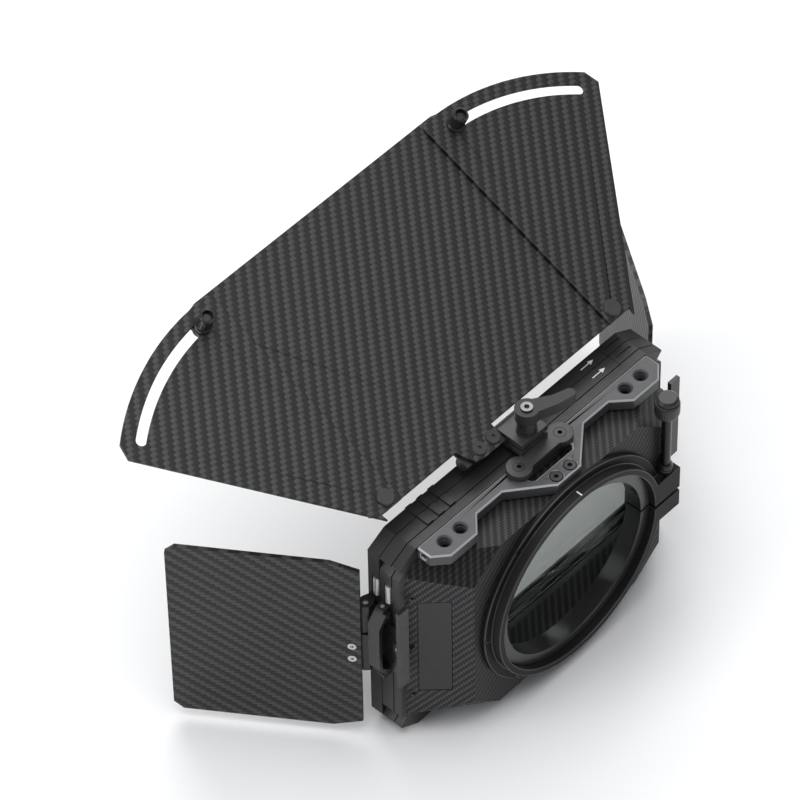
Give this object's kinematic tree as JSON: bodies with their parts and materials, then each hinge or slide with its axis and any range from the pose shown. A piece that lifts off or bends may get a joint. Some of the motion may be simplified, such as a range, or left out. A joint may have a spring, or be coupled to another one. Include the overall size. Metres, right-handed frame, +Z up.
{
  "type": "matte box",
  "caption": "Clip-on matte box: carbon body on a lens clamp, stacked filter trays that pull off, folding side flags and a tilting top flag with swing wings.",
  "frame": {"origin": "on the lens axis, at the mouth of the clamp's inner ring", "axes": "+Y back along the lens axis towards the lens, the front looks along -Y, +Z up, +X to the camera operator's left"},
  "size_m": [0.2718, 0.1449, 0.1734],
  "materials": {
    "black_anodised": "bead-blasted black anodised aluminium",
    "grey_anodised": "bead-blasted dark grey anodised aluminium",
    "carbon": "fine 2/2 twill carbon fibre laminate, satin",
    "steel": "stainless steel",
    "black_steel": "black oxide steel",
    "silver": "bright machined aluminium",
    "filter_glass": "clear optical glass with ground edges"
  },
  "bodies": {
    "body": {"body_frame": "black_anodised", "frame_screws": "steel", "rear_housing": "carbon", "inlay_left": "black_anodised", "inlay_right": "black_anodised", "clamp_ring": "black_anodised", "clamp_ring_screws": "steel", "inner_ring": "black_anodised", "top_bracket": "grey_anodised", "bracket_screws": "black_steel", "flag_clamp": "grey_anodised", "flag_clamp_screws": "black_steel", "lever_bolt": "steel", "lever_washer": "silver"},
    "clamp_screw": {"ring_clamp_screw": "steel", "ring_clamp_knob": "black_anodised"},
    "clamp_lever": {"clamp_lever": "grey_anodised", "lever_cap_screw": "steel"},
    "rear_tray": {"rear_tray_frame": "black_anodised", "rear_filter": "filter_glass", "latch_pins_left": "steel"},
    "rear_gate": {"rear_tray_gate": "black_anodised", "latch_pins_right": "steel"},
    "rear_roller_left": {"rear_roller_left": "silver"},
    "rear_roller_right": {"rear_roller_right": "silver"},
    "latch_left": {"latch_left": "black_anodised", "latch_screw_left": "steel"},
    "latch_right": {"latch_right": "black_anodised", "latch_screw_right": "steel"},
    "front_tray": {"front_tray_frame": "black_anodised", "front_filter": "filter_glass", "hinge_bracket_left": "black_anodised", "hinge_screws_left": "steel", "hinge_pin_left": "steel"},
    "front_gate": {"front_tray_gate": "black_anodised", "hinge_bracket_right": "black_anodised", "hinge_screws_right": "steel", "hinge_pin_right": "steel"},
    "front_roller_left": {"front_roller_left": "silver"},
    "front_roller_right": {"front_roller_right": "silver"},
    "side_flag_left": {"hinge_barrel_left": "silver", "hinge_leaf_left": "black_anodised", "side_flag_left": "carbon", "side_flag_screws_left": "steel"},
    "side_flag_right": {"hinge_barrel_right": "silver", "hinge_leaf_right": "black_anodised", "side_flag_right": "carbon", "side_flag_screws_right": "steel"},
    "flag_pin": {"top_flag_pin": "silver"},
    "top_flag": {"top_flag_hinge": "black_anodised", "top_flag_screws": "black_steel", "top_flag_panel": "carbon", "wing_rivets": "black_steel", "wing_studs": "steel"},
    "wing_left": {"top_wing_left": "carbon"},
    "wing_right": {"top_wing_right": "carbon"},
    "thumb_nut_left": {"thumb_nut_left": "black_anodised"},
    "thumb_nut_right": {"thumb_nut_right": "black_anodised"}
  },
  "joints": [
    {"name": "rear_tray_slide", "type": "slide", "parent": "body", "child": "rear_tray", "axis": [0, -1, 0], "range_m": [0, 0.0369]},
    {"name": "front_tray_slide", "type": "slide", "parent": "rear_tray", "child": "front_tray", "axis": [0, -1, 0], "range_m": [0, 0.0404]},
    {"name": "rear_gate_slide", "type": "slide", "parent": "rear_tray", "child": "rear_gate", "axis": [-1, 0, 0], "range_m": [0, 0.016]},
    {"name": "front_gate_slide", "type": "slide", "parent": "front_tray", "child": "front_gate", "axis": [-1, 0, 0], "range_m": [0, 0.016]},
    {"name": "rear_roller_left_spin", "type": "hinge", "parent": "rear_tray", "child": "rear_roller_left", "pos_m": [0.0766, -0.0293, 0.0305], "axis": [0, 0, 1], "continuous": true},
    {"name": "rear_roller_right_spin", "type": "hinge", "parent": "rear_gate", "child": "rear_roller_right", "pos_m": [-0.0766, -0.0293, 0.0305], "axis": [0, 0, 1], "continuous": true},
    {"name": "front_roller_left_spin", "type": "hinge", "parent": "front_tray", "child": "front_roller_left", "pos_m": [0.0766, -0.0356, 0.0305], "axis": [0, 0, 1], "continuous": true},
    {"name": "front_roller_right_spin", "type": "hinge", "parent": "front_gate", "child": "front_roller_right", "pos_m": [-0.0766, -0.0356, 0.0305], "axis": [0, 0, 1], "continuous": true},
    {"name": "latch_left_press", "type": "hinge", "parent": "rear_tray", "child": "latch_left", "pos_m": [0.0795, -0.0304, 0], "axis": [0, 0, 1], "range_deg": [-6, 0], "stiffness_Nm_per_rad": 0.25},
    {"name": "latch_right_press", "type": "hinge", "parent": "rear_gate", "child": "latch_right", "pos_m": [-0.0795, -0.0304, 0], "axis": [0, 0, -1], "range_deg": [-6, 0], "stiffness_Nm_per_rad": 0.25},
    {"name": "side_flag_left_swing", "type": "hinge", "parent": "front_tray", "child": "side_flag_left", "pos_m": [0.0817, -0.0375, -0.0016], "axis": [0, 0, 1], "range_deg": [-124, 25]},
    {"name": "side_flag_right_swing", "type": "hinge", "parent": "front_gate", "child": "side_flag_right", "pos_m": [-0.0817, -0.0375, -0.0016], "axis": [0, 0, -1], "range_deg": [-124, 25]},
    {"name": "top_flag_release", "type": "slide", "parent": "body", "child": "flag_pin", "axis": [1, 0, 0], "range_m": [0, 0.018]},
    {"name": "top_flag_tilt", "type": "hinge", "parent": "flag_pin", "child": "top_flag", "pos_m": [0, -0.0348, 0.0613], "axis": [-1, 0, 0], "range_deg": [-30, 30]},
    {"name": "wing_left_swing", "type": "hinge", "parent": "top_flag", "child": "wing_left", "pos_m": [0.0664, -0.04078, 0.06931], "axis": [0, 0.3843, 0.9232], "range_deg": [-34, 0]},
    {"name": "thumb_nut_left_turn", "type": "hinge", "parent": "top_flag", "child": "thumb_nut_left", "pos_m": [0.0729, -0.1289, 0.11206], "axis": [0, 0.3843, 0.9232], "continuous": true},
    {"name": "wing_right_swing", "type": "hinge", "parent": "top_flag", "child": "wing_right", "pos_m": [-0.0664, -0.04078, 0.06931], "axis": [0, -0.3843, -0.9232], "range_deg": [-34, 0]},
    {"name": "thumb_nut_right_turn", "type": "hinge", "parent": "top_flag", "child": "thumb_nut_right", "pos_m": [-0.0729, -0.1289, 0.11206], "axis": [0, 0.3843, 0.9232], "continuous": true},
    {"name": "clamp_lever_turn", "type": "hinge", "parent": "body", "child": "clamp_lever", "pos_m": [0, -0.0262, 0.07], "axis": [0, 0, 1], "range_deg": [-90, 0]},
    {"name": "clamp_screw_turn", "type": "hinge", "parent": "body", "child": "clamp_screw", "pos_m": [-0.0552, -0.0006, 0.02], "axis": [0, 0, 1], "continuous": true}
  ]
}
